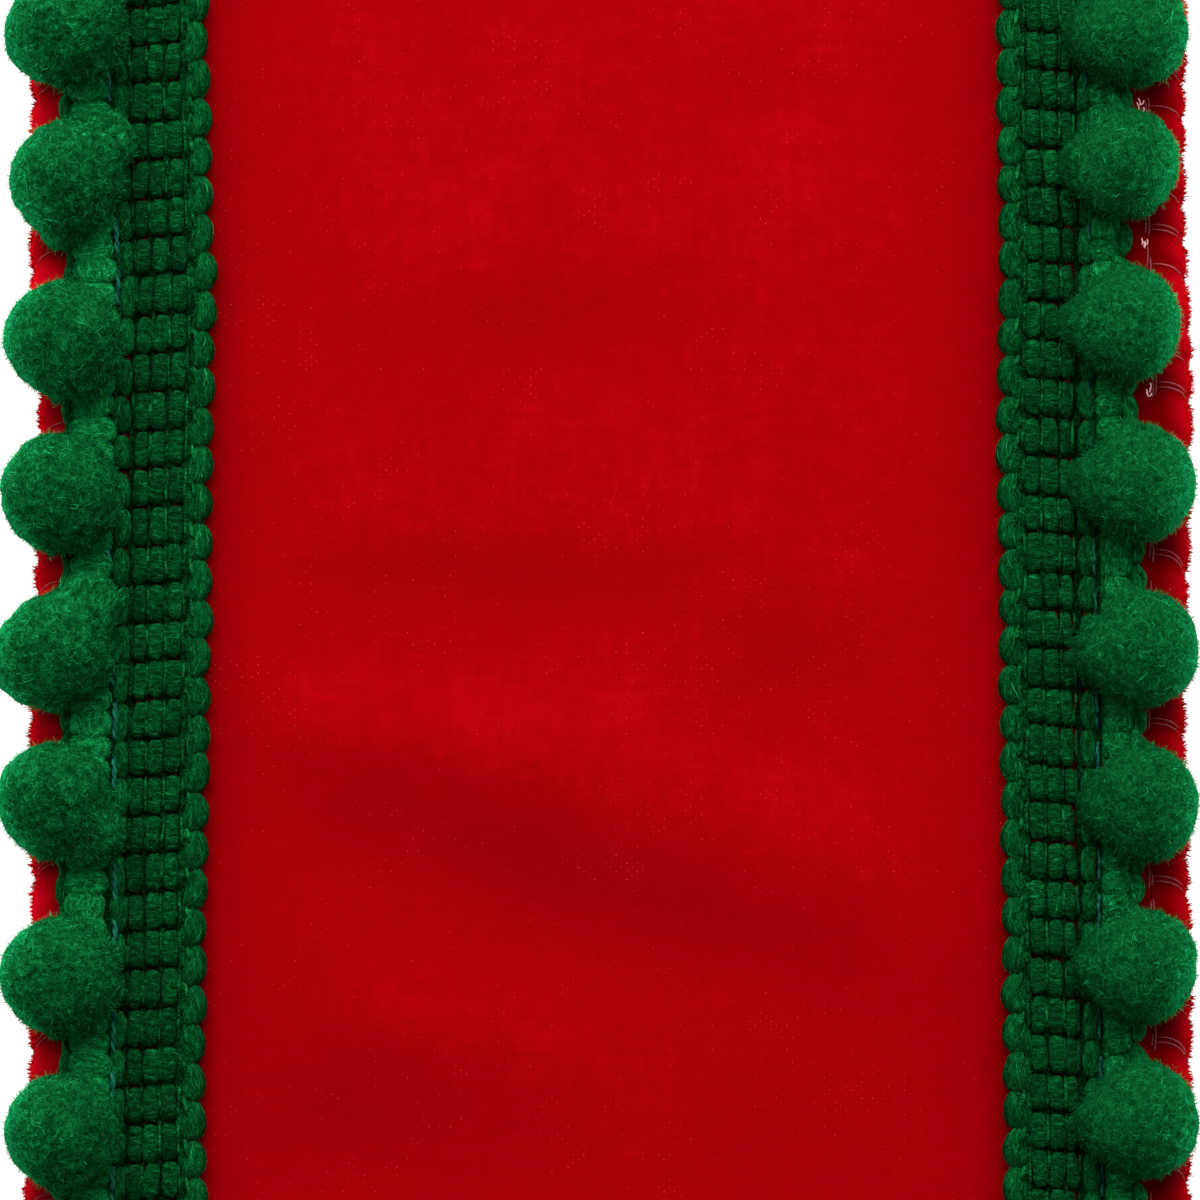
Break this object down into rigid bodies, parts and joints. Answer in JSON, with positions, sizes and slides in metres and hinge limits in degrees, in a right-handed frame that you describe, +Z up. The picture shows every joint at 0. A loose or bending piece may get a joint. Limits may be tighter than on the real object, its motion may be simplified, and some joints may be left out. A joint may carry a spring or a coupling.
{
  "type": "pompom-trimmed velvet ribbon, cut length",
  "caption": "Flat length of wired velvet ribbon with rolled hems and, along each long edge, a ribbed knitted header that carries a row of round pompoms.",
  "frame": {"origin": "centre of the footprint, on the surface that the ribbon lies on", "axes": "+X across the ribbon to the right trim, +Y along the ribbon, +Z up out of the pile side"},
  "size_m": [0.0661, 0.1016, 0.0086],
  "materials": {
    "velvet": "short cut pile, matt with a soft sheen",
    "yarn": "fuzzy spun yarn, matt"
  },
  "bodies": {
    "root": {"ribbon": "velvet", "trim_left": "yarn", "trim_right": "yarn"}
  },
  "joints": []
}
